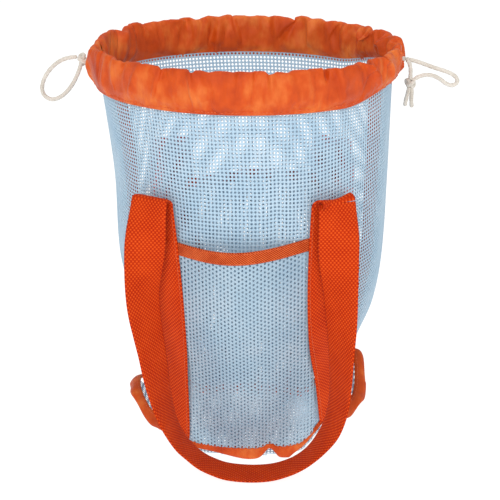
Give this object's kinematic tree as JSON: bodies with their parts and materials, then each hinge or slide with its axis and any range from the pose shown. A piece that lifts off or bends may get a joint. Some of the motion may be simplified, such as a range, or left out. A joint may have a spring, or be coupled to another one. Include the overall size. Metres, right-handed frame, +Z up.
{
  "type": "mesh ball bag",
  "caption": "Open-topped drawstring net bag with a padded-look fabric casing, webbing carrying handles and net pockets on both faces, standing on a bound net base.",
  "frame": {"origin": "middle of the base, on the surface that the bag stands on", "axes": "+Z up to the mouth, -Y towards the front pocket, +X to the right of someone who faces the front"},
  "size_m": [0.4021, 0.2752, 0.405],
  "materials": {
    "net": "open polyester net",
    "nylon": "smooth woven nylon with a soft sheen",
    "binding": "ribbed binding tape",
    "webbing": "ribbed polypropylene webbing",
    "thread": "dense sewing thread",
    "cord": "braided cotton cord"
  },
  "bodies": {
    "bag": {"front_mesh_panel": "net", "back_mesh_panel": "net", "base_mesh_panel": "net", "front_pocket_mesh": "net", "back_pocket_mesh": "net", "base_rim_binding": "nylon", "front_casing": "nylon", "back_casing": "nylon", "left_seam_tape": "binding", "right_seam_tape": "binding", "front_pocket_binding": "binding", "back_pocket_binding": "binding", "front_left_strap": "webbing", "front_right_strap": "webbing", "back_left_strap": "webbing", "back_right_strap": "webbing", "strap_bar_tacks": "thread", "left_drawcord": "cord", "right_drawcord": "cord", "right_cord_drop": "cord"},
    "front_handle": {"front_handle": "webbing"},
    "back_handle": {"back_handle": "webbing"},
    "left_cord_pull": {"left_cord_knot": "cord", "left_cord_loop": "cord"},
    "right_cord_pull": {"right_cord_knot": "cord", "right_cord_loop": "cord", "right_cord_tails": "cord"}
  },
  "joints": [
    {"name": "front_handle_swing", "type": "hinge", "parent": "bag", "child": "front_handle", "pos_m": [0, -0.112, 0.284], "axis": [-1, 0, 0], "range_deg": [0, 155]},
    {"name": "back_handle_swing", "type": "hinge", "parent": "bag", "child": "back_handle", "pos_m": [0, 0.112, 0.284], "axis": [1, 0, 0], "range_deg": [0, 155]},
    {"name": "left_cord_draw", "type": "slide", "parent": "bag", "child": "left_cord_pull", "axis": [-1, 0, 0], "range_m": [0, 0.04]},
    {"name": "right_cord_draw", "type": "slide", "parent": "bag", "child": "right_cord_pull", "axis": [1, 0, 0], "range_m": [0, 0.04]}
  ]
}
